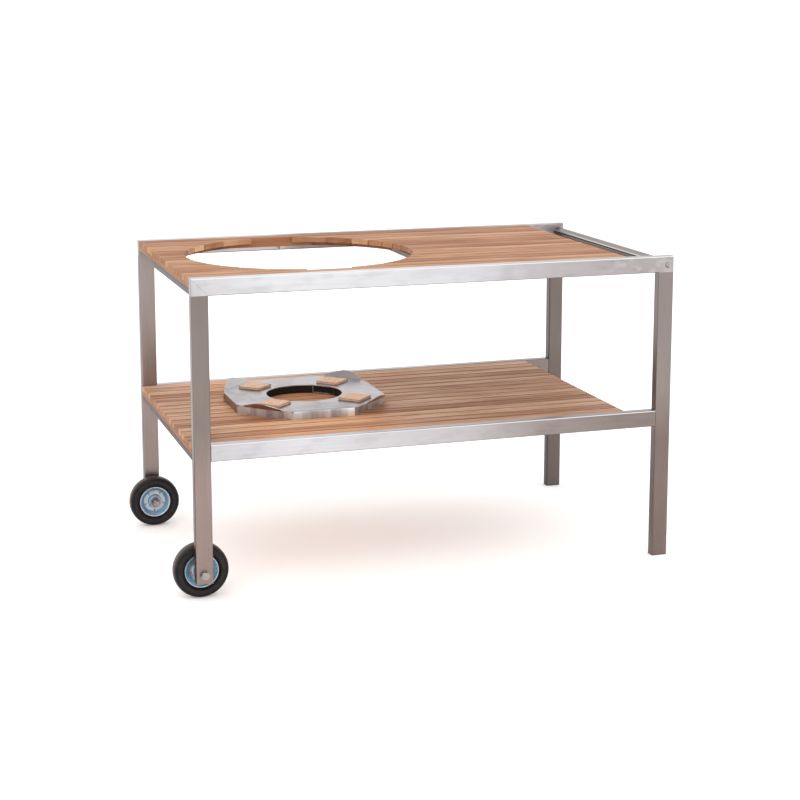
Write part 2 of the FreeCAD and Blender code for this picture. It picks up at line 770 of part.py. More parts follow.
os.makedirs("parts", exist_ok=True)
for node in nodes:
    node.Shape.exportStep(f"parts/{node.Label}.step")
    print(node.Label, len(node.Shape.Solids), round(node.Shape.Volume))
print(len(nodes), "pieces")
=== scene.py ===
import math
import bmesh
import bpy
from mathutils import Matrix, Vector


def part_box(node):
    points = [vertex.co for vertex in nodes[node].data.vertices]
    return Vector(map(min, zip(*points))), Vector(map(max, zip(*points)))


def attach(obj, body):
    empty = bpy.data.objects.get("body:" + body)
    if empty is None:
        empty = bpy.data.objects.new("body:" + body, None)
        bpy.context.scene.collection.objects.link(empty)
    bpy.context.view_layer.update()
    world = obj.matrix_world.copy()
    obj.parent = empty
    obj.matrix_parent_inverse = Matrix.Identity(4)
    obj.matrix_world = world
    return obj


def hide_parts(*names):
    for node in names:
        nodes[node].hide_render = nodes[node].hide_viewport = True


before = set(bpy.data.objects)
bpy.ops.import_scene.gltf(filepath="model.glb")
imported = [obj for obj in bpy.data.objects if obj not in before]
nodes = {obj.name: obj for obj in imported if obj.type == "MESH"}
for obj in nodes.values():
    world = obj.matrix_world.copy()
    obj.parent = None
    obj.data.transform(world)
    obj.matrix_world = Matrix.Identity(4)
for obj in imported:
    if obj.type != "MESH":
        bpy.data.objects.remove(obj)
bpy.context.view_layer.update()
print("frame loaded:", len(nodes), "nodes")

mm = 0.001
near = 0.1 * mm     # how near a spot counts as on an edge
weld = 0.002 * mm   # corners nearer than this become one


# Shared helpers for meshes

def clearSelection():
    if bpy.context.object and bpy.context.object.mode != "OBJECT":
        bpy.ops.object.mode_set(mode="OBJECT")
    bpy.ops.object.select_all(action="DESELECT")


def makeActive(piece):
    clearSelection()
    piece.select_set(True)
    bpy.context.view_layer.objects.active = piece


def middleOf(name):
    low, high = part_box(name)
    return (low + high) / 2


def placeInMesh(name):
    # the primitive just added: its place and turn go into the mesh, its origin to the world's
    piece = bpy.context.object
    piece.name = name
    bpy.ops.object.transform_apply(location=True, rotation=True, scale=True)
    return piece


def pick(piece, kind, wanted):
    # in edit mode: selects the vertices, edges or faces whose middle passes the test
    bpy.ops.mesh.select_all(action="DESELECT")
    bpy.ops.mesh.select_mode(type={"verts": "VERT", "edges": "EDGE", "faces": "FACE"}[kind])
    mesh = bmesh.from_edit_mesh(piece.data)
    for part in getattr(mesh, kind):
        if kind == "verts":
            middle = part.co
        elif kind == "edges":
            middle = (part.verts[0].co + part.verts[1].co) / 2
        else:
            middle = part.calc_center_median()
        if wanted(middle):
            part.select_set(True)
    mesh.select_flush_mode()
    bmesh.update_edit_mesh(piece.data)


def applyModifier(piece, kind, **settings):
    makeActive(piece)
    modifier = piece.modifiers.new(kind.lower(), kind)
    for name, value in settings.items():
        setattr(modifier, name, value)
    bpy.ops.object.modifier_apply(modifier=modifier.name)


def smooth(piece, degrees=32):
    makeActive(piece)
    bpy.ops.object.shade_smooth_by_angle(angle=math.radians(degrees))


def joined(name, pieces):
    makeActive(pieces[0])
    for piece in pieces[1:]:
        piece.select_set(True)
    bpy.ops.object.join()
    pieces[0].name = name
    return pieces[0]


def pairedAtBack(piece):
    applyModifier(piece, "MIRROR", use_axis=(False, True, False), use_mirror_merge=False)


def turned(name, middle, outline, segments=64):
    # rings of (place along the axis, radius), pulled out one after the other along Y
    clearSelection()
    middle = Vector(middle)
    along, radius = outline[0]
    bpy.ops.mesh.primitive_circle_add(
        vertices=segments, radius=radius, location=middle + Vector((0, along, 0)),
        rotation=(math.radians(90), 0, 0))
    piece = placeInMesh(name)
    bpy.ops.object.mode_set(mode="EDIT")
    bpy.ops.mesh.select_all(action="SELECT")
    for start, end in zip(outline, outline[1:]):
        bpy.ops.mesh.extrude_region_move(TRANSFORM_OT_translate={"value": (0, end[0] - start[0], 0)})
        ratio = end[1] / start[1]
        bpy.ops.transform.resize(value=(ratio, 1, ratio), center_override=middle + Vector((0, end[0], 0)))
    bpy.ops.mesh.select_all(action="SELECT")
    if outline[0] == outline[-1]:
        bpy.ops.mesh.remove_doubles(threshold=weld)
    else:
        bpy.ops.mesh.fill_holes(sides=0)
    bpy.ops.mesh.select_all(action="SELECT")
    bpy.ops.mesh.normals_make_consistent(inside=False)
    bpy.ops.object.mode_set(mode="OBJECT")
    return piece


def inMetres(outline):
    return [(along * mm, radius * mm) for along, radius in outline]


def finished(piece, material, body, slotName, *replaced):
    clearSelection()
    dress(piece, material)
    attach(piece, body)
    if replaced:
        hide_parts(*replaced)


# Shared helpers for materials

def addNode(tree, kind, inputs=None, **settings):
    node = tree.nodes.new(kind)
    for name, value in settings.items():
        setattr(node, name, value)
    for name, value in (inputs or {}).items():
        if isinstance(value, bpy.types.NodeSocket):
            tree.links.new(value, node.inputs[name])
        else:
            node.inputs[name].default_value = value
    return node


def calc(tree, operation, first, second=0.0):
    return addNode(tree, "ShaderNodeMath", {0: first, 1: second}, operation=operation).outputs[0]


def mixed(tree, factor, first, second, blend="MIX"):
    return addNode(tree, "ShaderNodeMix", {0: factor, 6: first, 7: second},
                   data_type="RGBA", blend_type=blend).outputs[2]


def remap(tree, value, fromLow, fromHigh, toLow=0.0, toHigh=1.0):
    return addNode(tree, "ShaderNodeMapRange", {
        "Value": value, "From Min": fromLow, "From Max": fromHigh,
        "To Min": toLow, "To Max": toHigh}).outputs[0]


def ramp(tree, value, stops):
    node = addNode(tree, "ShaderNodeValToRGB", {"Fac": value})
    points = node.color_ramp.elements
    while len(points) < len(stops):
        points.new(0.5)
    for point, (place, color) in zip(points, stops):
        point.position = place
        point.color = color
    return node.outputs["Color"]


def noise(tree, place, scale, detail=2.0, roughness=0.5, distortion=0.0):
    # scale: cells to the metre along X, Y and Z
    stretched = addNode(tree, "ShaderNodeMapping", {"Vector": place, "Scale": scale}).outputs[0]
    return addNode(tree, "ShaderNodeTexNoise", {
        "Vector": stretched, "Scale": 1.0, "Detail": detail, "Roughness": roughness,
        "Distortion": distortion}).outputs["Fac"]


def stretchedOn(along, lengthways, across):
    return [lengthways if axis == along else across for axis in "XYZ"]


def blended(tree, *shares):
    # the weighted sum of some values
    total = None
    for share, value in shares:
        part = calc(tree, "MULTIPLY", value, share)
        total = part if total is None else calc(tree, "ADD", total, part)
    return total


def band(tree, value, middle, halfWidth, soft):
    # one inside a band about the middle, falling to nothing over the soft edge
    off = calc(tree, "ABSOLUTE", calc(tree, "SUBTRACT", value, middle))
    return remap(tree, off, halfWidth, halfWidth + soft, 1.0, 0.0)


def split(tree, vector):
    return addNode(tree, "ShaderNodeSeparateXYZ", {0: vector}).outputs


def scaled(tree, color, factor):
    grey = addNode(tree, "ShaderNodeCombineXYZ", {0: factor, 1: factor, 2: factor}).outputs[0]
    return mixed(tree, 1.0, color, grey, blend="MULTIPLY")


def facing(tree):
    return split(tree, addNode(tree, "ShaderNodeNewGeometry").outputs["Normal"])


skyStrength = 1.25


def paint(red, green, blue):
    # a tone as it is seen under the sky, 0 to 255, made into the surface's own linear colour
    linear = []
    for part in (red, green, blue):
        part = part / 255
        part = part / 12.92 if part <= 0.04045 else ((part + 0.055) / 1.055) ** 2.4
        linear.append(part / skyStrength)
    return (*linear, 1)


def newMaterial(name, **constants):
    material = bpy.data.materials.new(name)
    material.use_nodes = True
    tree = material.node_tree
    shader = tree.nodes["Principled BSDF"]
    for socket, value in constants.items():
        shader.inputs[socket.replace("_", " ")].default_value = value
    place = addNode(tree, "ShaderNodeTexCoord").outputs["Object"]
    return material, tree, shader, place


def bumpFrom(tree, shader, height, strength, distance):
    bump = addNode(tree, "ShaderNodeBump", {"Height": height, "Strength": strength, "Distance": distance})
    tree.links.new(bump.outputs[0], shader.inputs["Normal"])


def dress(piece, material):
    piece.data.materials.clear()
    piece.data.materials.append(material)


# Stainless steel

steel = {
    "roughness": 0.34,
    "roughSpread": 0.05,
    "brushDepth": 0.12 * mm,
    "seam": paint(160, 154, 152),
    "seamWidth": 0.5 * mm,
    "seamFade": (24 * mm, 38 * mm),      # below the frame's top, where the seam starts to fade and is faint
    "edgeHighlight": paint(252, 252, 255),    # a painted highlight along a rail's upper bend
    # painted shade on the rails' faces that look down
    "underShade": paint(122, 108, 101),
    "lighterPatches": paint(214, 208, 207),
    "lighterPatchesFrom": (0.40, 0.5),           # along the rails, where the patches by the grip start and are full
    "legTurn": (0.30, 0.42),             # heights between which a leg's lower tone turns into its upper one
    "cornerSide": 0.66,                  # painted shade: how the end face of a ground corner compares with its front
    "frameHigh": 754 * mm,
    "tube": 40 * mm,
}
# tones along the rails, from the wheels' end to the grip, in metres: painted reflections and shade
railTones = {
    "top_rail_front": [(-0.58, (206, 203, 206)), (-0.38, (226, 226, 229)), (-0.12, (224, 224, 227)),
                       (0.1, (212, 211, 215)), (0.3, (187, 181, 182)), (0.52, (177, 170, 169))],
    "lower_rail_front": [(-0.55, (200, 197, 200)), (-0.32, (219, 217, 220)), (-0.1, (207, 203, 205)),
                         (0.08, (195, 190, 191)), (0.27, (159, 149, 145)), (0.5, (141, 129, 124))],
    "top_rail_rear": [(-0.58, (212, 206, 207)), (-0.22, (210, 204, 204)), (-0.14, (156, 142, 138)),
                      (0.3, (166, 155, 152)), (0.46, (190, 183, 182)), (0.585, (186, 179, 178)),
                      (0.615, (134, 120, 115))],
    "lower_rail_rear": [(-0.55, (200, 193, 193)), (0.2, (186, 178, 177)), (0.5, (143, 131, 126))],
}
# each leg's tone above the shelf and below it, both holding painted reflections and shade, and the painted
# shade on its side towards the wheels at both
legTones = {
    "leg_front_left": ((139, 128, 123), (158, 139, 133), 0.86, 0.3),
    "leg_rear_left": ((170, 157, 152), (168, 152, 148), 0.5, 0.42),
    "leg_front_right": ((149, 137, 132), (131, 115, 109), 0.78, 0.73),
    "leg_rear_right": ((125, 114, 109), (117, 105, 101), 0.64, 0.34),
}
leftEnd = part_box("top_rail_front")[0].x
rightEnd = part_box("top_rail_front")[1].x


def brushMarks(tree, place, along):
    fine = noise(tree, place, stretchedOn(along, 8.0, 900.0), detail=3, roughness=0.6)
    broad = noise(tree, place, stretchedOn(along, 3.0, 150.0))
    return blended(tree, (0.55, fine), (0.45, broad))


def brushed(name, along, roughness=steel["roughness"], edge=1.0):
    # the shared start of every steel: brush marks in the gloss and the bump, and edge, which is how much
    # of the brightness is left at a low angle
    material, tree, shader, place = newMaterial(name, Metallic=1.0, Specular_Tint=(edge, edge, edge, 1))
    marks = brushMarks(tree, place, along)
    spread = steel["roughSpread"]
    gloss = remap(tree, marks, 0.3, 0.7, roughness - spread, roughness + spread)
    tree.links.new(gloss, shader.inputs["Roughness"])
    bumpFrom(tree, shader, marks, 0.08, steel["brushDepth"])
    return material, tree, shader, place, marks


def steelMaterial(name, along, light, dark, roughness=steel["roughness"], cloudSize=70 * mm, edge=1.0):
    material, tree, shader, place, marks = brushed(name, along, roughness, edge)
    cloud = noise(tree, place, [1 / cloudSize] * 3, detail=2)
    tone = blended(tree, (0.6, marks), (0.4, cloud))
    color = mixed(tree, remap(tree, tone, 0.36, 0.64), dark, light)
    tree.links.new(color, shader.inputs["Base Color"])
    return material, tree, shader, color


def mitreLine(tree, parts):
    # the ground weld runs down at 45 degrees from the frame's upper corner
    fromEnd = calc(tree, "SUBTRACT", parts[0], leftEnd)
    fromTop = calc(tree, "SUBTRACT", steel["frameHigh"], parts[2])
    line = band(tree, calc(tree, "SUBTRACT", fromTop, fromEnd), 0.0, steel["seamWidth"], steel["seamWidth"])
    return calc(tree, "MULTIPLY", line, remap(tree, fromTop, *steel["seamFade"], 0.75, 0.2))


def railTone(tree, place, parts, marks, tones, patchShare=0.3):
    # the painted reflections and shade along the rail, under brush marks, soft smudges, and lighter patches
    # near the grip
    along = remap(tree, parts[0], leftEnd, rightEnd)
    stops = [((spot - leftEnd) / (rightEnd - leftEnd), paint(*tone)) for spot, tone in tones]
    color = ramp(tree, along, stops)
    color = scaled(tree, color, remap(tree, marks, 0.35, 0.65, 0.93, 1.06))
    smudge = remap(tree, noise(tree, place, (15, 34, 34), detail=3), 0.5, 0.68, 1.0, 0.88)
    color = scaled(tree, color, smudge)
    lighterPatches = remap(tree, noise(tree, place, (36, 50, 50), detail=1), 0.5, 0.66, 0.0, patchShare)
    nearGrip = remap(tree, parts[0], *steel["lighterPatchesFrom"])
    return mixed(tree, calc(tree, "MULTIPLY", lighterPatches, nearGrip), color, steel["lighterPatches"])


def railMaterial(name, tones, isTop, isFront):
    material, tree, shader, place, marks = brushed(name, "X")
    parts = split(tree, place)
    normal = facing(tree)
    color = railTone(tree, place, parts, marks, tones, 0.35 if isTop else 0.0)
    if isTop:
        color = mixed(tree, mitreLine(tree, parts), color, steel["seam"])
    # painted light: the faces that look up are a little lighter
    upward = remap(tree, normal[2], 0.85, 0.95)
    color = scaled(tree, color, remap(tree, upward, 0.0, 1.0, 1.0, 1.04))
    # a painted highlight along the front rails' upper bend
    if isFront:
        color = mixed(tree, band(tree, normal[2], 0.5, 0.22, 0.12), color, steel["edgeHighlight"])
    # painted shade on the faces that look down
    color = mixed(tree, remap(tree, normal[2], -0.3, -0.6), color, steel["underShade"])
    tree.links.new(color, shader.inputs["Base Color"])
    return material


def legMaterial(name, upper, lower, sideAbove, sideBelow):
    # brushed upright, with painted shade on its side towards the wheels; the ground corner at the leg's top
    # has the front rail's painted tones, with painted shade on its end faces
    material, tree, shader, place, marks = brushed(name, "Z")
    parts = split(tree, place)
    fine = noise(tree, place, (700, 700, 25), detail=2)
    tone = blended(tree, (0.5, marks), (0.5, fine))
    aboveShelf = remap(tree, parts[2], *steel["legTurn"])
    color = mixed(tree, aboveShelf, paint(*lower), paint(*upper))
    color = scaled(tree, color, remap(tree, tone, 0.35, 0.65, 0.95, 1.05))
    cloud = noise(tree, place, (25, 25, 6), detail=2)
    color = scaled(tree, color, remap(tree, cloud, 0.35, 0.65, 0.96, 1.04))
    # painted shade on the side that faces the wheels
    side = remap(tree, aboveShelf, 0.0, 1.0, sideBelow, sideAbove)
    color = scaled(tree, color, remap(tree, facing(tree)[0], -0.4, -0.8, 1.0, side))
    cornerFoot = steel["frameHigh"] - steel["tube"]
    corner = remap(tree, parts[2], cornerFoot, cornerFoot + 1 * mm)
    ground = railTone(tree, place, parts, marks, railTones["top_rail_front"])
    # painted shade on the ground corner's end faces
    outer = remap(tree, calc(tree, "ABSOLUTE", facing(tree)[0]), 0.4, 0.8, 1.0, steel["cornerSide"])
    color = mixed(tree, corner, color, scaled(tree, ground, outer))
    color = mixed(tree, mitreLine(tree, parts), color, steel["seam"])
    tree.links.new(color, shader.inputs["Base Color"])
    return material


def facetedSteel(name, light, dark):
    # turned and cut fasteners: painted shade on the flats that look down and to the wheels' end, painted
    # light on those that look up and away
    material, tree, shader, color = steelMaterial(name, "Y", light, dark, roughness=0.2, cloudSize=6 * mm)
    normal = facing(tree)
    leaning = blended(tree, (0.75, normal[0]), (0.65, normal[2]))
    color = scaled(tree, color, remap(tree, leaning, -0.75, 0.3, 0.5, 1.12))
    tree.links.new(color, shader.inputs["Base Color"])
    return material


grip = {
    "middle": middleOf("handle_tube"),
    # degrees up from the side that faces the wheels, and the painted reflection there
    "bands": [
        (-180, (170, 165, 162)), (-100, (140, 132, 129)), (-60, (104, 90, 84)), (-30, (100, 86, 80)),
        (-14, (114, 102, 97)), (-8, (132, 123, 119)), (-2, (119, 108, 104)), (13, (117, 105, 101)),
        (18, (240, 237, 238)), (24, (226, 222, 223)), (31, (176, 169, 167)), (62, (164, 157, 155)),
        (92, (206, 202, 203)), (140, (180, 175, 172)), (180, (168, 162, 159))],
}


def gripMaterial():
    # a polished tube: painted reflections of the studio lie along it, by the angle round its axis
    material, tree, shader, place, marks = brushed("gripSteel", "Y", roughness=0.22, edge=0.6)
    parts = split(tree, place)
    up = calc(tree, "SUBTRACT", parts[2], grip["middle"].z)
    left = calc(tree, "SUBTRACT", grip["middle"].x, parts[0])
    turn = remap(tree, calc(tree, "ARCTAN2", up, left), -math.pi, math.pi)
    color = ramp(tree, turn, [(degrees / 360 + 0.5, paint(*tone)) for degrees, tone in grip["bands"]])
    color = scaled(tree, color, remap(tree, marks, 0.35, 0.65, 0.95, 1.05))
    tree.links.new(color, shader.inputs["Base Color"])
    return material


frameSteels = {}
for name, tones in railTones.items():
    frameSteels[name] = railMaterial(f"{name}Steel", tones, name.startswith("top"), name.endswith("front"))
for name, tones in legTones.items():
    frameSteels[name] = legMaterial(f"{name}Steel", *tones)
# painted shade: the cross rails are darker copies of the steel, the shelf's darkest, for the shade under the
# decks
topCrossSteel = steelMaterial("topCrossSteel", "Y", paint(146, 138, 135), paint(124, 116, 112), edge=0.6)[0]
shelfCrossSteel = steelMaterial("shelfCrossSteel", "Y", paint(122, 108, 102), paint(100, 88, 83), edge=0.6)[0]
tabSteel = facetedSteel("tabSteel", paint(206, 200, 202), paint(172, 164, 165))
gripSteel = gripMaterial()
boltSteel = facetedSteel("boltSteel", paint(196, 188, 184), paint(156, 146, 141))
washerSteel = facetedSteel("washerSteel", paint(168, 160, 157), paint(132, 124, 121))


# Teak

# dark, middle and light wood, then the painted shade on the faces across the grain, the gaps' sides and the
# battens' cut faces, with how much of it lies on them; the shelf's wood is painted lighter than the top's
# against the top's shade, the opening battens' darker for their shade under the slats
teakTones = {
    "top": ((146, 90, 56), (182, 130, 94), (212, 167, 131), (170, 116, 82), 0.55),
    "shelf": ((152, 102, 74), (195, 149, 118), (222, 184, 154), (112, 74, 52), 0.75),
    "batten": ((140, 95, 67), (161, 116, 87), (184, 140, 109), (140, 95, 67), 0.3),
    "opening": ((120, 74, 50), (156, 104, 74), (184, 130, 96), (142, 94, 66), 0.8),
}
teak = {
    "endDark": paint(134, 78, 46),
    "endLight": paint(232, 184, 140),
    "pore": paint(112, 70, 46),
    "outerEnd": paint(166, 108, 68),
    "trayHoleShade": paint(158, 96, 54),
    "trayHoleShadeSpot": (86 * mm, 116 * mm),      # from the tray's middle, where the painted shade starts to fade and ends
    "cutOutLight": (1.3, 1.19, 1.04, 1),
    "cutOutLightBand": (-0.26, 0.12, 0.14),       # along the shelf: its middle, half its width and its soft edge
    "betweenDecks": 0.5,                  # a height above the shelf and below the top
    "deckShift": 31.0,                    # sets the top's slats apart from the shelf's
    "cutMiddle": -0.23,                   # along the table, the middle of the cut-out
    "endShift": 7.0,                      # sets a cut slat's two ends apart
}
trayMiddle = middleOf("base_tray")
trayMiddle.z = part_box("cork_pads")[0].z   # on the plate's upper side
slatLow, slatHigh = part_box("top_slat_01")
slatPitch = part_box("top_slat_02")[0].y - slatLow.y
slatStart = slatLow.y - (slatPitch - (slatHigh.y - slatLow.y)) / 2


def teakMaterial(name, along, tones, rowed=True):
    # oiled teak: every slat has its own shade and its own run of grain
    dark, middle, light, side, sideShadeShare = tones
    material, tree, shader, place = newMaterial(name, Specular_IOR_Level=0.2)
    parts = split(tree, place)
    if rowed:
        fromFront = calc(tree, "SUBTRACT", parts[1], slatStart)
        row = calc(tree, "FLOOR", calc(tree, "DIVIDE", fromFront, slatPitch))
        onTop = calc(tree, "GREATER_THAN", parts[2], teak["betweenDecks"])
        row = calc(tree, "ADD", row, calc(tree, "MULTIPLY", onTop, teak["deckShift"]))
    else:
        row = calc(tree, "FLOOR", calc(tree, "MULTIPLY", parts[0], 9.0))
    chance = addNode(tree, "ShaderNodeTexWhiteNoise", {"W": row}, noise_dimensions="1D").outputs["Value"]
    shift = addNode(tree, "ShaderNodeCombineXYZ", {
        0: calc(tree, "MULTIPLY", chance, 40.0), 1: calc(tree, "MULTIPLY", chance, 17.0),
        2: calc(tree, "MULTIPLY", chance, 5.0)}).outputs[0]
    moved = addNode(tree, "ShaderNodeVectorMath", {0: place, 1: shift}, operation="ADD").outputs[0]

    bands = noise(tree, moved, stretchedOn(along, 3.6, 54.0), detail=3, roughness=0.55, distortion=0.4)
    streaks = noise(tree, moved, stretchedOn(along, 5.0, 190.0), detail=3, roughness=0.6)
    fine = noise(tree, moved, stretchedOn(along, 11.0, 700.0), detail=3, roughness=0.65)
    figure = blended(tree, (0.43, bands), (0.36, streaks), (0.21, fine))
    shade = calc(tree, "ADD", figure, remap(tree, chance, 0, 1, -0.08, 0.08))
    color = ramp(tree, shade, [(0.36, paint(*dark)), (0.5, paint(*middle)), (0.63, paint(*light))])
    dashes = noise(tree, moved, stretchedOn(along, 13.0, 120.0), detail=2)
    color = mixed(tree, remap(tree, dashes, 0.6, 0.7, 0.0, 0.5), color, paint(*dark))
    pores = remap(tree, noise(tree, moved, stretchedOn(along, 30.0, 1500.0)), 0.62, 0.72, 0.0, 0.5)
    color = mixed(tree, pores, color, teak["pore"])

    if name == "shelfTeak":
        # painted shade: browner under the tray's hole
        fromTray = addNode(tree, "ShaderNodeVectorMath", {0: place, 1: trayMiddle},
                           operation="DISTANCE").outputs["Value"]
        color = mixed(tree, remap(tree, fromTray, *teak["trayHoleShadeSpot"], 0.5, 0.0), color, teak["trayHoleShade"])
        # and painted light on the shelf below the cut-out: paler and more orange there
        litBelowCutOut = band(tree, parts[0], *teak["cutOutLightBand"])
        color = mixed(tree, litBelowCutOut, color, mixed(tree, 1.0, color, teak["cutOutLight"], blend="MULTIPLY"))
    normal = facing(tree)
    across = "Y" if along == "X" else "X"
    # painted shade on the faces that look across the grain: the gaps' sides and the battens' cut faces
    inGap = remap(tree, calc(tree, "ABSOLUTE", normal["XYZ".index(across)]), 0.35, 0.85, 0.0, sideShadeShare)
    color = mixed(tree, inGap, color, paint(*side))
    if rowed:
        sawn = remap(tree, calc(tree, "ABSOLUTE", normal["XYZ".index(along)]), 0.15, 0.4, 0.0, 0.92)
        onRight = calc(tree, "GREATER_THAN", parts[0], teak["cutMiddle"])
        piece = calc(tree, "ADD", row, calc(tree, "MULTIPLY", onRight, teak["endShift"]))
        lot = addNode(tree, "ShaderNodeTexWhiteNoise", {"W": piece}, noise_dimensions="1D").outputs["Value"]
        patch = noise(tree, place, (26, 26, 26), detail=1)
        grain = noise(tree, place, (500, 500, 500), detail=2)
        endTone = blended(tree, (0.5, lot), (0.35, patch), (0.15, grain))
        ends = mixed(tree, remap(tree, endTone, 0.25, 0.75), teak["endDark"], teak["endLight"])
        toWheels = remap(tree, normal[0], -0.6, -0.9)
        ends = mixed(tree, calc(tree, "MULTIPLY", toWheels, 0.6), ends, teak["outerEnd"])
        color = mixed(tree, sawn, color, ends)
    tree.links.new(color, shader.inputs["Base Color"])
    tree.links.new(remap(tree, figure, 0.3, 0.7, 0.68, 0.52), shader.inputs["Roughness"])
    bumpFrom(tree, shader, calc(tree, "SUBTRACT", figure, pores), 0.3, 0.2 * mm)
    return material


topTeak = teakMaterial("topTeak", "X", teakTones["top"])
shelfTeak = teakMaterial("shelfTeak", "X", teakTones["shelf"])
battenTeak = teakMaterial("battenTeak", "Y", teakTones["batten"], rowed=False)
openingTeak = teakMaterial("openingTeak", "Y", teakTones["opening"], rowed=False)


# Rubber, zinc, cork, the collar's near-black and plastic

corkGrain = {
    "cells": 520.0,     # granules to the metre
    "tones": [
        (0.1, (214, 160, 122)), (0.3, (236, 192, 160)), (0.6, (248, 212, 184)), (0.85, (253, 226, 202))],
    "between": paint(206, 154, 118),
}


def corkMaterial():
    material, tree, shader, place = newMaterial("cork", Roughness=0.9, Specular_IOR_Level=0.15)
    cells = addNode(tree, "ShaderNodeTexVoronoi", {"Vector": place, "Scale": corkGrain["cells"]})
    granules = split(tree, cells.outputs["Color"])[0]
    crumbs = noise(tree, place, (900, 900, 900), detail=3)
    tone = blended(tree, (0.7, granules), (0.3, crumbs))
    color = ramp(tree, tone, [(spot, paint(*shade)) for spot, shade in corkGrain["tones"]])
    between = remap(tree, cells.outputs["Distance"], 0.35, 0.8, 0.0, 0.4)
    color = mixed(tree, between, color, corkGrain["between"])
    # painted light on the pads' tops and painted shade on their sides
    color = scaled(tree, color, remap(tree, facing(tree)[2], 0.3, 0.8, 0.84, 1.06))
    tree.links.new(color, shader.inputs["Base Color"])
    bumpFrom(tree, shader, blended(tree, (-0.6, cells.outputs["Distance"]), (0.4, granules)), 0.5, 0.6 * mm)
    return material


wheel = {
    "axle": middleOf("wheel_front_hub"),
    # distance from the axle in mm, and the tone of the rubber there; the lighter rings at 50 to 54 mm are a
    # painted highlight on the bulging sidewall
    "rubberRings": [
        (40.0, (26, 21, 21)), (46.0, (30, 25, 25)), (50.0, (45, 39, 39)), (54.0, (43, 37, 37)),
        (58.0, (29, 24, 24)), (61.0, (27, 22, 22)), (62.4, (66, 57, 56)), (63.6, (46, 39, 38)),
        (64.8, (72, 63, 61))],
    "rubberReach": 66 * mm,     # past the last ring
    # distance from the axle in mm, and the tone of the zinc there; the near-white rings at 13.6 to 15.4 mm
    # and at 29 mm are painted highlights on the boss's rounded edge and the web's edge
    "zincRings": [
        (0, (160, 168, 174)), (11.0, (122, 164, 194)), (12.6, (150, 184, 208)), (13.6, (244, 247, 250)),
        (15.4, (236, 242, 246)), (16.2, (142, 182, 208)), (18.0, (168, 194, 210)), (19.5, (184, 200, 212)),
        (28.0, (180, 196, 208)), (29.0, (218, 228, 236)), (30.4, (178, 212, 236)), (34.0, (176, 212, 238)),
        (36.5, (176, 212, 238)), (38.0, (194, 220, 238)), (39.5, (214, 228, 240)), (41, (216, 228, 238))],
    "ringReach": 42 * mm,
}


def ringed(tree, place, rings, reach):
    # a wheel's tones by the distance from its axle
    parts = split(tree, place)
    across = calc(tree, "SUBTRACT", parts[0], wheel["axle"].x)
    up = calc(tree, "SUBTRACT", parts[2], wheel["axle"].z)
    fromAxle = calc(tree, "SQRT", blended(
        tree, (1.0, calc(tree, "MULTIPLY", across, across)), (1.0, calc(tree, "MULTIPLY", up, up))))
    return ramp(tree, calc(tree, "DIVIDE", fromAxle, reach),
                [(radius * mm / reach, paint(*tone)) for radius, tone in rings])


def rubberMaterial():
    material, tree, shader, place = newMaterial("tyreRubber", Specular_IOR_Level=0.16)
    dust = noise(tree, place, (60, 60, 60), detail=4)
    color = ringed(tree, place, wheel["rubberRings"], wheel["rubberReach"])
    tree.links.new(scaled(tree, color, remap(tree, dust, 0.35, 0.7, 0.75, 1.35)), shader.inputs["Base Color"])
    tree.links.new(remap(tree, dust, 0.3, 0.7, 0.3, 0.45), shader.inputs["Roughness"])
    bumpFrom(tree, shader, noise(tree, place, (900, 900, 900)), 0.08, 0.15 * mm)
    return material


def zincMaterial():
    material, tree, shader, place = newMaterial("blueZinc", Metallic=1.0)
    color = ringed(tree, place, wheel["zincRings"], wheel["ringReach"])
    cloud = noise(tree, place, (55, 55, 55), detail=3, distortion=0.8)
    color = mixed(tree, remap(tree, cloud, 0.5, 0.72, 0.0, 0.45), color, paint(222, 218, 218))
    spots = remap(tree, noise(tree, place, (150, 150, 150), detail=2), 0.60, 0.72, 0.0, 0.55)
    tree.links.new(mixed(tree, spots, color, paint(122, 128, 130)), shader.inputs["Base Color"])
    tree.links.new(remap(tree, cloud, 0.3, 0.7, 0.24, 0.4), shader.inputs["Roughness"])
    return material


def speckled(name, light, dark, rough=(0.4, 0.55), specular=0.5):
    material, tree, shader, place = newMaterial(name, Specular_IOR_Level=specular)
    speckle = noise(tree, place, (500, 500, 500), detail=2)
    tree.links.new(mixed(tree, speckle, dark, light), shader.inputs["Base Color"])
    tree.links.new(remap(tree, speckle, 0.3, 0.7, *rough), shader.inputs["Roughness"])
    bumpFrom(tree, shader, speckle, 0.1, 0.1 * mm)
    return material


cork = corkMaterial()
rubber = rubberMaterial()
zinc = zincMaterial()
nylon = speckled("nylon", paint(228, 224, 212), paint(214, 208, 194))
plugPlastic = speckled("plugPlastic", paint(44, 43, 43), paint(32, 31, 31), specular=0.3)
# nearly black, for the collar under the tray's hole
collarBlack = speckled("collarBlack", paint(46, 40, 39), paint(32, 28, 27), rough=(0.6, 0.75), specular=0.08)
print("materials made")


# The tray's sheet

traySheet = {
    "plate": paint(191, 185, 187),
    "plateCloud": paint(158, 152, 154),
    "plateBlue": paint(168, 172, 188),
    "bend": 0.8,                            # painted shade in the rounded bends: how they compare with the plate
    "wall": paint(216, 220, 226),
    "wallBlotch": paint(164, 161, 163),
    # a painted highlight on the front wall
    "wallHighlight": paint(252, 252, 252),
    "wallHighlightBand": (68 * mm, 4 * mm, 10 * mm),    # right of the tray's middle, half its width, its soft edge
    "wheelSide": 0.46,                      # painted shade on the wall towards the wheels; otherSides, painted light on the other walls
    "otherSides": 1.18,
    # the wood's colour, painted as a reflection on the wall towards the wheels
    "warmShade": paint(150, 104, 78),
    "warmShare": 0.55,
    "flap": paint(200, 197, 199),
    # painted shade on the flaps that lean towards the wheels
    "leftFlaps": 0.82,
    "underFlap": paint(190, 140, 104),      # the wood's colour, a painted reflection on the flaps' undersides
}


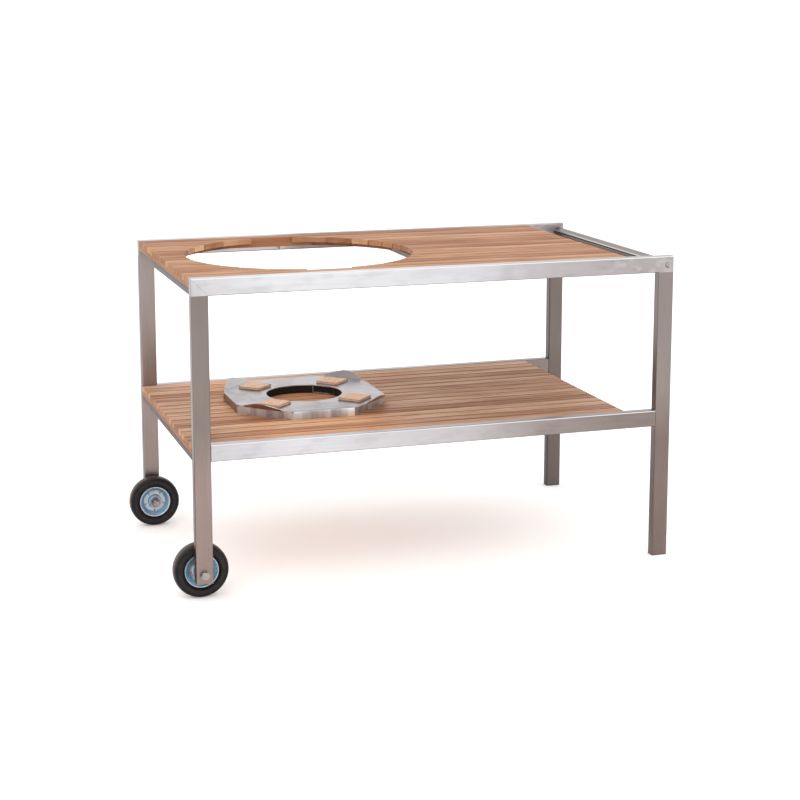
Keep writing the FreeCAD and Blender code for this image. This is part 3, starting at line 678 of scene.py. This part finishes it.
def trayMaterial():
    # fine brushing under soft clouds and upright blotches on the walls, with painted light and shade: a
    # highlight on the front wall, shade in the bends and on the wall and flaps towards the wheels, and the
    # wood's reflection on that wall and under the flaps
    material, tree, shader, place, marks = brushed("traySteel", "X", roughness=0.3)
    toGrip, toBack, upward = facing(tree)
    cloud = noise(tree, place, (16, 16, 16), detail=2, distortion=0.9)
    tone = blended(tree, (0.75, cloud), (0.25, marks))
    plate = mixed(tree, remap(tree, tone, 0.38, 0.6), traySheet["plateCloud"], traySheet["plate"])
    bluish = remap(tree, noise(tree, place, (19, 30, 19), detail=1, distortion=1.0), 0.52, 0.66, 0.0, 0.6)
    plate = mixed(tree, bluish, plate, traySheet["plateBlue"])

    blotch = remap(tree, noise(tree, place, (38, 38, 8), detail=2), 0.46, 0.68, 0.0, 0.9)
    walls = mixed(tree, blotch, traySheet["wall"], traySheet["wallBlotch"])
    fromMiddle = calc(tree, "SUBTRACT", split(tree, place)[0], trayMiddle.x)
    # a painted highlight on the front wall, right of the tray's middle
    highlightMask = band(tree, fromMiddle, *traySheet["wallHighlightBand"])
    onFront = remap(tree, toBack, -0.8, -0.95)
    walls = mixed(tree, calc(tree, "MULTIPLY", highlightMask, onFront), walls, traySheet["wallHighlight"])
    # painted shade on the wall towards the wheels, painted light on the others, and the wood's painted
    # reflection on the first
    shade = remap(tree, toGrip, -0.95, -0.8, traySheet["wheelSide"], traySheet["otherSides"])
    warmth = remap(tree, toGrip, -0.95, -0.8, traySheet["warmShare"], 0.0)
    walls = mixed(tree, warmth, scaled(tree, walls, shade), traySheet["warmShade"])

    # painted shade on the flaps that lean towards the wheels
    flaps = scaled(tree, traySheet["flap"], remap(tree, toGrip, -0.3, 0.3, traySheet["leftFlaps"], 1.0))
    color = mixed(tree, remap(tree, upward, 0.25, 0.6), walls, flaps)
    color = mixed(tree, remap(tree, upward, 0.93, 0.985), color, plate)
    # painted shade in the bends and at the flaps' roots
    bend = band(tree, upward, 0.9, 0.05, 0.02)
    color = scaled(tree, color, remap(tree, bend, 0.0, 1.0, 1.0, traySheet["bend"]))
    # a painted reflection of the wood on the faces that look down
    color = mixed(tree, remap(tree, upward, -0.85, -0.6, 1.0, 0.0), color, traySheet["underFlap"])
    tree.links.new(color, shader.inputs["Base Color"])
    return material


traySteel = trayMaterial()


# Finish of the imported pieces

finishes = [
    ("leg_plugs", plugPlastic), ("support_tabs", tabSteel), ("top_cross_rail", topCrossSteel),
    ("shelf_cross_rail", shelfCrossSteel), ("shelf_slats", shelfTeak), ("top_slat", topTeak),
    ("top_edge_strips", topTeak), ("opening_batten", openingTeak), ("batten", battenTeak), ("tyre", rubber),
    ("rim", zinc), ("hub", zinc), ("bush", nylon), ("base_tray", traySteel), ("tray_collar", collarBlack),
    ("cork_pads", cork), ("handle_tube", gripSteel), ("axle_washers", washerSteel)]


def finishOf(name):
    # the first entry whose words are in the name; what is left are fasteners
    if name in frameSteels:
        return frameSteels[name]
    fitting = [finish for words, finish in finishes if words in name]
    return fitting[0] if fitting else boltSteel


for name, node in nodes.items():
    dress(node, finishOf(name))
print("packed pieces dressed")


# Wheels

tyre = {
    # half of the section, from the rim's flange to the middle of the tread: along the axle and from it, in mm
    "halfSection": [
        (3.1, 32.3), (12.8, 38.3), (12.8, 40.3), (15.2, 40.3), (14.4, 42.2), (14.9, 43.4), (17.0, 44.6),
        (17.8, 45.8), (17.5, 47.2), (17.9, 50.0), (17.9, 54.0), (17.2, 58.0), (15.6, 61.2), (14.8, 61.9),
        (14.4, 61.5), (13.8, 62.7), (11.6, 64.0), (8.0, 64.7), (3.0, 65.0)],
    "segments": 96,
}
rim = {
    # one side of the pressed disc, in mm: from the hub to the flange's edge and back under the tyre's seat
    "halfSection": [
        (14.5, 12.1), (15.0, 12.7), (15.0, 13.7), (14.4, 14.4), (3.4, 16.9), (2.4, 17.6), (2.0, 18.8),
        (2.0, 27.3), (2.3, 28.3), (3.1, 29.1), (12.6, 35.4), (13.9, 36.5), (14.7, 37.6), (15.0, 38.7),
        (15.0, 39.6), (14.6, 40.0), (13.3, 40.0), (13.0, 39.6), (13.0, 38.1)],
    "waist": (0.0, 30.1),       # where the two sides meet under the tyre
    "segments": 96,
    "rivets": 5,
    "rivetCircle": 25.0 * mm,
    # along the rivet and from its axis, in mm
    "rivetDome": [(1.8, 2.6), (2.4, 2.55), (2.8, 2.0), (3.0, 0.9)],
    "rivetSegments": 20,
}


def bothSides(halfSection):
    # the other side is the same outline, mirrored and run backwards
    return [(-along, radius) for along, radius in reversed(halfSection)]


def makeRivets(middle):
    pieces = []
    place = middle - Vector((0, 0, rim["rivetCircle"]))
    for side in (-1, 1):
        outline = [(side * along, radius) for along, radius in rim["rivetDome"]]
        head = turned("rivetHead", place, inMetres(outline), rim["rivetSegments"])
        makeActive(head)
        bpy.ops.object.mode_set(mode="EDIT")
        bpy.ops.mesh.select_all(action="SELECT")
        bpy.ops.mesh.spin(steps=rim["rivets"] - 1, dupli=True, center=middle, axis=(0, 1, 0),
                          angle=math.radians(360 * (rim["rivets"] - 1) / rim["rivets"]))
        bpy.ops.object.mode_set(mode="OBJECT")
        pieces.append(head)
    return pieces


def makeWheel(end):
    middle = middleOf(f"wheel_{end}_tyre")
    section = tyre["halfSection"] + bothSides(tyre["halfSection"])
    section.append(section[0])
    rubberTyre = turned(f"{end}Tyre", middle, inMetres(section), tyre["segments"])
    smooth(rubberTyre, 28)
    finished(rubberTyre, rubber, f"wheel_{end}", "tyre", f"wheel_{end}_tyre")

    section = rim["halfSection"] + [rim["waist"]] + bothSides(rim["halfSection"])
    section.append(section[0])
    disc = turned(f"{end}Rim", middle, inMetres(section), rim["segments"])
    smooth(disc, 38)
    finished(disc, zinc, f"wheel_{end}", "zinc_plated", f"wheel_{end}_rim")
    rivets = joined(f"{end}Rivets", makeRivets(middle))
    smooth(rivets, 38)
    finished(rivets, washerSteel, f"wheel_{end}", "zinc_plated")


for end in ("front", "rear"):
    makeWheel(end)
print("wheels made")


# Axle bolts, nuts and washers

axle = {
    "shank": 6 * mm,
    "acrossFlats": 18 * mm,
    "nutDepth": 10 * mm,
    "chamfer": 1 * mm,
    "faceShare": 0.97,          # the round face that the chamfer leaves, to the width across the flats
    "cutterSpare": 0.2 * mm,    # how far the chamfering cone stands past the corners,
    "cutterProud": 0.01 * mm,   # and past the faces
    "threadPitch": 0.9 * mm,
    "threadDepth": 0.5 * mm,
    "threads": 3,
    "tip": (3 * mm, 4.9 * mm),  # how far past the nut the shank ends, and its radius there
    "segments": 36,
}


def hexagonal(name, middle, depth):
    # a hexagon whose corners a cone cuts back at both faces
    corner = axle["acrossFlats"] / math.sqrt(3)
    clearSelection()
    bpy.ops.mesh.primitive_cylinder_add(
        vertices=6, radius=corner, depth=depth, location=middle,
        rotation=(math.radians(90), math.radians(30), 0))
    piece = placeInMesh(name)
    face = axle["acrossFlats"] / 2 * axle["faceShare"]
    half = depth / 2 + axle["cutterProud"]
    flank = half - axle["chamfer"]
    corner += axle["cutterSpare"]
    cone = turned("chamferCone", middle, [(-half, face), (-flank, corner), (flank, corner), (half, face)])
    applyModifier(piece, "BOOLEAN", operation="INTERSECT", object=cone, solver="EXACT")
    bpy.data.objects.remove(cone, do_unlink=True)
    return piece


def makeAxleHardware():
    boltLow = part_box("axle_bolts")[0]
    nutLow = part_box("axle_nuts")[0]
    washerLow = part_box("axle_washers")[0]
    centre = wheel["axle"]
    headDepth = washerLow.y - boltLow.y
    head = hexagonal("axleHead", (centre.x, boltLow.y + headDepth / 2, centre.z), headDepth)
    nut = hexagonal("axleNuts", (centre.x, nutLow.y + axle["nutDepth"] / 2, centre.z), axle["nutDepth"])
    end = nutLow.y + axle["nutDepth"]
    outline = [(washerLow.y, axle["shank"]), (end, axle["shank"])]
    for turn in range(axle["threads"]):
        crest = end + (turn + 0.5) * axle["threadPitch"]
        outline.append((crest, axle["shank"] - axle["threadDepth"]))
        outline.append((crest + axle["threadPitch"] / 2, axle["shank"]))
    pastNut, tipRadius = axle["tip"]
    outline.append((end + pastNut, tipRadius))
    shank = turned("axleShank", (centre.x, 0, centre.z), outline, axle["segments"])
    bolts = joined("axleBolts", [head, shank])
    pairedAtBack(bolts)
    smooth(bolts, 25)
    finished(bolts, boltSteel, "table", "fasteners", "axle_bolts")
    pairedAtBack(nut)
    smooth(nut, 25)
    finished(nut, washerSteel, "table", "fasteners", "axle_nuts")


makeAxleHardware()
print("axle hardware made")


# Grip bolts

gripBolt = {
    # the dome, the flat under it and the shank: into the rail from its face, and from the axis, in mm
    "outline": [
        (-4.5, 0.8), (-4.42, 2.2), (-4.0, 3.9), (-3.2, 5.4), (-2.1, 6.5), (-0.9, 6.95), (0.0, 7.0),
        (0.0, 4.0), (47.4, 4.0), (48.0, 3.4)],
    "segments": 40,
}


def makeGripBolts():
    place = (grip["middle"].x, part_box("top_rail_front")[0].y, grip["middle"].z)
    bolt = turned("gripBolts", place, inMetres(gripBolt["outline"]), gripBolt["segments"])
    pairedAtBack(bolt)
    smooth(bolt, 40)
    finished(bolt, boltSteel, "table", "fasteners", "handle_bolts")


makeGripBolts()
print("grip bolts made")


# Tray

fold = {
    "half": 190 * mm,
    "corner": 106 * mm,         # how far each corner of the square is cut back
    "ear": 7 * mm,              # how far the plate's points stand past the walls
    "sheet": 2 * mm,
    "bend": 3 * mm,
    "bendSteps": 5,
    "holeRadius": 95 * mm,
    "holeSegments": 128,
    "wallFoot": 370 * mm,       # on the shelf
    "flapWidth": 106 * mm,
    "strip": 2 * mm,            # what a flap is pulled out from, deleted afterwards
    # the flap's steps out and up, in mm, with the width it has there
    "flapSteps": [(1.10, 0.09, 106), (1.07, 0.26, 106), (1.02, 0.42, 106), (0.94, 0.58, 106),
                  (4.60, 3.52, 106), (0.90, 0.70, 104.5), (1.20, 0.90, 99), (3.40, 2.65, 80),
                  (3.90, 3.03, 58), (3.60, 2.80, 38), (2.20, 1.71, 22), (1.10, 0.86, 10)],
}


def makeFlap(middle):
    # one corner's flap, pulled out from the plate's edge on the side of +X
    edge = middle.x + (2 * fold["half"] - fold["corner"]) / math.sqrt(2)
    clearSelection()
    bpy.ops.mesh.primitive_plane_add(size=1, location=(edge - fold["strip"] / 2, middle.y, middle.z))
    bpy.context.object.scale = (fold["strip"], fold["flapWidth"], 1)
    flap = placeInMesh("trayFlap")
    bpy.ops.object.mode_set(mode="EDIT")
    pick(flap, "edges", lambda spot: spot.x > edge - near)
    width = fold["flapWidth"]
    for out, up, wide in fold["flapSteps"]:
        bpy.ops.mesh.extrude_region_move(TRANSFORM_OT_translate={"value": (out * mm, 0, up * mm)})
        bpy.ops.transform.resize(value=(1, wide * mm / width, 1), center_override=middle)
        width = wide * mm
    pick(flap, "faces", lambda spot: spot.x < edge)
    bpy.ops.mesh.delete(type="FACE")
    bpy.ops.mesh.select_all(action="SELECT")
    bpy.ops.mesh.normals_make_consistent(inside=False)
    bpy.ops.object.mode_set(mode="OBJECT")
    return flap


def foldWall(sheet, out, flat, wallEnd):
    # one side's edge goes round the bend in short steps, then straight down to the shelf
    middle, bend, steps = trayMiddle, fold["bend"], fold["bendSteps"]
    along = Vector((out.y, out.x, 0))
    pick(sheet, "edges", lambda spot: (spot - middle).dot(out) > flat - near and (
        abs((spot - middle).dot(along)) < wallEnd))
    for index in range(steps):
        before, after = (math.radians(90 * turn / steps) for turn in (index, index + 1))
        drop = Vector((0, 0, math.cos(after) - math.cos(before)))
        step = out * (math.sin(after) - math.sin(before)) + drop
        bpy.ops.mesh.extrude_region_move(TRANSFORM_OT_translate={"value": step * bend})
    down = fold["wallFoot"] - middle.z + bend
    bpy.ops.mesh.extrude_region_move(TRANSFORM_OT_translate={"value": (0, 0, down)})


def closeCorner(sheet, turn, wallEnd):
    # the two wall ends beside a corner are joined by a wall across it
    middle = trayMiddle
    corner = Vector((math.cos(turn), math.sin(turn), 0))
    reach = (fold["half"] + wallEnd) / math.sqrt(2) - 3 * near
    pick(sheet, "edges", lambda spot: (spot - middle).dot(corner) > reach and (
        spot.z < middle.z - fold["bend"] - near))
    bpy.ops.mesh.edge_face_add()


def makeTray():
    middle = trayMiddle
    flat = fold["half"] - fold["bend"]
    clearSelection()
    bpy.ops.mesh.primitive_plane_add(size=2 * flat, location=middle)
    sheet = placeInMesh("traySheet")
    bpy.ops.object.mode_set(mode="EDIT")
    bpy.ops.mesh.select_all(action="SELECT")
    cutBack = fold["corner"] - 2 * fold["bend"]
    bpy.ops.mesh.bevel(offset=cutBack * math.sqrt(2), offset_type="WIDTH", affect="VERTICES")
    wallEnd = fold["half"] - fold["corner"] - fold["ear"]
    for side in (-1, 1):
        for across in ((1, 0, 0), (0, 1, 0)):
            bpy.ops.mesh.select_all(action="SELECT")
            bpy.ops.mesh.bisect(plane_co=middle + Vector(across) * side * wallEnd, plane_no=across)
    for out in ((1, 0, 0), (0, 1, 0), (-1, 0, 0), (0, -1, 0)):
        foldWall(sheet, Vector(out), flat, wallEnd)
    for index in range(4):
        closeCorner(sheet, math.radians(45 + 90 * index), wallEnd)
    bpy.ops.mesh.select_all(action="SELECT")
    bpy.ops.mesh.normals_make_consistent(inside=False)
    bpy.ops.object.mode_set(mode="OBJECT")
    applyModifier(sheet, "SOLIDIFY", thickness=fold["sheet"], offset=-1.0, use_even_offset=True)
    clearSelection()
    bpy.ops.mesh.primitive_cylinder_add(
        vertices=fold["holeSegments"], radius=fold["holeRadius"], depth=6 * fold["sheet"], location=middle)
    cutter = placeInMesh("holeCutter")
    applyModifier(sheet, "BOOLEAN", operation="DIFFERENCE", object=cutter, solver="EXACT")
    bpy.data.objects.remove(cutter, do_unlink=True)

    flap = makeFlap(middle)
    flaps = [flap]
    for index in range(3):
        makeActive(flap)
        bpy.ops.object.duplicate(linked=False)
        flaps.append(bpy.context.object)
    for index, piece in enumerate(flaps):
        makeActive(piece)
        bpy.ops.transform.rotate(value=math.radians(45 + 90 * index), orient_axis="Z", center_override=middle)
        bpy.ops.object.transform_apply(location=True, rotation=True, scale=True)
    flaps = joined("trayFlaps", flaps)
    applyModifier(flaps, "SOLIDIFY", thickness=fold["sheet"], offset=-1.0)
    sheet = joined("traySheet", [sheet, flaps])
    smooth(sheet, 30)
    print("tray sheet:", len(sheet.data.vertices), "vertices", [round(v / mm, 1) for v in sheet.dimensions])
    finished(sheet, traySteel, "tray", "brushed_stainless", "base_tray")


makeTray()
print("tray made")


# Cork pads

pad = {
    "side": 60 * mm,
    "edge": 0.9 * mm,
    "cuts": 9,
    "crumble": 0.3 * mm,
    "seat": 0.5 * mm,       # what lies on the plate stays flat
}


def makeCorkPads():
    low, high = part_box("cork_pads")
    middle = (low + high) / 2
    reach = (high.x - low.x) / 2 - pad["side"] / math.sqrt(2)
    pads = []
    for index in range(4):
        turn = math.radians(45 + 90 * index)
        place = middle + Vector((math.cos(turn), math.sin(turn), 0)) * reach * math.sqrt(2)
        clearSelection()
        bpy.ops.mesh.primitive_cube_add(size=1, location=place, rotation=(0, 0, turn))
        bpy.context.object.scale = (pad["side"], pad["side"], high.z - low.z)
        piece = placeInMesh(f"corkPad{index + 1}")
        bpy.ops.object.mode_set(mode="EDIT")
        bpy.ops.mesh.select_all(action="SELECT")
        bpy.ops.mesh.bevel(offset=pad["edge"], segments=2)
        bpy.ops.mesh.select_all(action="SELECT")
        bpy.ops.mesh.subdivide(number_cuts=pad["cuts"])
        pick(piece, "verts", lambda spot: spot.z > low.z + pad["seat"])
        bpy.ops.transform.vertex_random(offset=pad["crumble"], uniform=0.6, normal=0.3, seed=index + 3)
        bpy.ops.object.mode_set(mode="OBJECT")
        pads.append(piece)
    pads = joined("corkPads", pads)
    smooth(pads, 50)
    finished(pads, cork, "tray", "cork", "cork_pads")


makeCorkPads()
print("cork pads made")


# The bare edge of the panel in the tray's collar

panelEdge = {
    "radius": 96.9 * mm,
    "from": 22,              # degrees round from the grip's side
    "to": 61,
    "segments": 180,
    "width": 1.5 * mm,
    "proud": 0.6 * mm,
    "raised": 0.7 * mm,      # its lower end, from the collar's
}


def makePanelEdge():
    low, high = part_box("tray_collar")
    middle = (low + high) / 2
    depth = high.z - low.z
    clearSelection()
    bpy.ops.mesh.primitive_cylinder_add(
        vertices=panelEdge["segments"], radius=panelEdge["radius"], depth=depth, end_fill_type="NOTHING",
        location=middle)
    piece = placeInMesh("collarPanelEdge")
    bpy.ops.object.mode_set(mode="EDIT")

    def outside(spot):
        turn = math.degrees(math.atan2(spot.y - middle.y, spot.x - middle.x))
        return not panelEdge["from"] < turn < panelEdge["to"]
    pick(piece, "faces", outside)
    bpy.ops.mesh.delete(type="FACE")
    pick(piece, "verts", lambda spot: spot.z < middle.z)
    bpy.ops.transform.translate(value=(0, 0, panelEdge["raised"]))
    bpy.ops.mesh.select_mode(type="FACE")
    bpy.ops.mesh.select_all(action="SELECT")
    bpy.ops.mesh.inset(thickness=panelEdge["width"], use_boundary=True)
    bpy.ops.mesh.delete(type="FACE")
    pick(piece, "faces", lambda spot: spot.z > high.z - panelEdge["width"])
    bpy.ops.mesh.delete(type="FACE")
    bpy.ops.mesh.select_all(action="SELECT")
    bpy.ops.mesh.normals_make_consistent(inside=True)
    bpy.ops.object.mode_set(mode="OBJECT")
    applyModifier(piece, "SOLIDIFY", thickness=panelEdge["proud"], offset=1.0)
    smooth(piece, 30)
    finished(piece, traySteel, "tray", "brushed_stainless")


makePanelEdge()
print("collar's panel edge made")


# Screws of the small tabs beside the cut-out

tabScrew = {
    "fromTab": 9.5 * mm,
    "fromBottom": 4.6 * mm,
    "sheet": 3 * mm,
    # the head with its round recess: out from the tab, and from the axis, in mm
    "head": [
        (-0.2, 3.6), (0.0, 4.0), (0.9, 3.9), (1.9, 3.2), (2.5, 2.0), (2.5, 1.6), (1.6, 1.4), (1.6, 0.4)],
    "segments": 28,
}


def makeTabScrews():
    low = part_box("support_tabs")[0]
    place = (low.x + tabScrew["fromTab"], low.y + tabScrew["sheet"], low.z + tabScrew["fromBottom"])
    screw = turned("tabScrews", place, inMetres(tabScrew["head"]), tabScrew["segments"])
    pairedAtBack(screw)
    smooth(screw, 40)
    finished(screw, boltSteel, "table", "fasteners")


makeTabScrews()
print("tab screws made")


# Studio

studio = {
    "floorSize": 60.0,
    "floorDrop": 0.5 * mm,  # just under the tyres and the feet
    "floorGlow": 0.16,
    "floorTones": ((0.955, 0.955, 0.955, 1), (0.975, 0.975, 0.975, 1)),
    "lights": [             # name, place, side of the square and power
        ("keyLight", (-2.2, -3.0, 3.4), 2.4, 40), ("fillLight", (3.2, -2.0, 2.0), 2.0, 10)],
    "lightsAim": (0, 0, 0.4),
    "cameraPlace": (-1.3265, -4.1713, 1.3583),
    "cameraTurn": 18.031,   # degrees to the right of straight at the front
    "cameraDrop": 9.692,    # degrees below level
    "lens": 79.13,
    "shiftUp": -0.12,
    "farthest": 100,
}


def makeFloor():
    clearSelection()
    bpy.ops.mesh.primitive_plane_add(size=studio["floorSize"], location=(0, 0, -studio["floorDrop"]))
    floor = placeInMesh("studioFloor")
    material, tree, shader, place = newMaterial(
        "floorPaper", Roughness=1.0, Specular_IOR_Level=0.0, Emission_Color=(1, 1, 1, 1),
        Emission_Strength=studio["floorGlow"])
    fibre = noise(tree, place, (40, 40, 40), detail=3)
    tree.links.new(mixed(tree, fibre, *studio["floorTones"]), shader.inputs["Base Color"])
    dress(floor, material)


def makeLight(name, place, side, power):
    clearSelection()
    bpy.ops.object.light_add(type="AREA", location=place)
    lamp = bpy.context.object
    lamp.name = name
    lamp.data.size = side
    lamp.data.energy = power
    toAim = Vector(studio["lightsAim"]) - Vector(place)
    lamp.rotation_euler = toAim.to_track_quat("-Z", "Y").to_euler()


def makeStudio():
    makeFloor()
    world = bpy.data.worlds.new("studioWorld")
    bpy.context.scene.world = world
    world.use_nodes = True
    sky = world.node_tree.nodes["Background"]
    sky.inputs["Color"].default_value = (1, 1, 1, 1)
    sky.inputs["Strength"].default_value = skyStrength
    for light in studio["lights"]:
        makeLight(*light)
    bpy.ops.object.camera_add(location=studio["cameraPlace"])
    camera = bpy.context.object
    camera.name = "photoCamera"
    camera.rotation_euler = (math.radians(90 - studio["cameraDrop"]), 0, -math.radians(studio["cameraTurn"]))
    camera.data.lens = studio["lens"]
    camera.data.shift_y = studio["shiftUp"]
    camera.data.clip_end = studio["farthest"]
    bpy.context.scene.camera = camera
    bpy.context.scene.view_settings.view_transform = "Standard"


makeStudio()
print("studio ready")
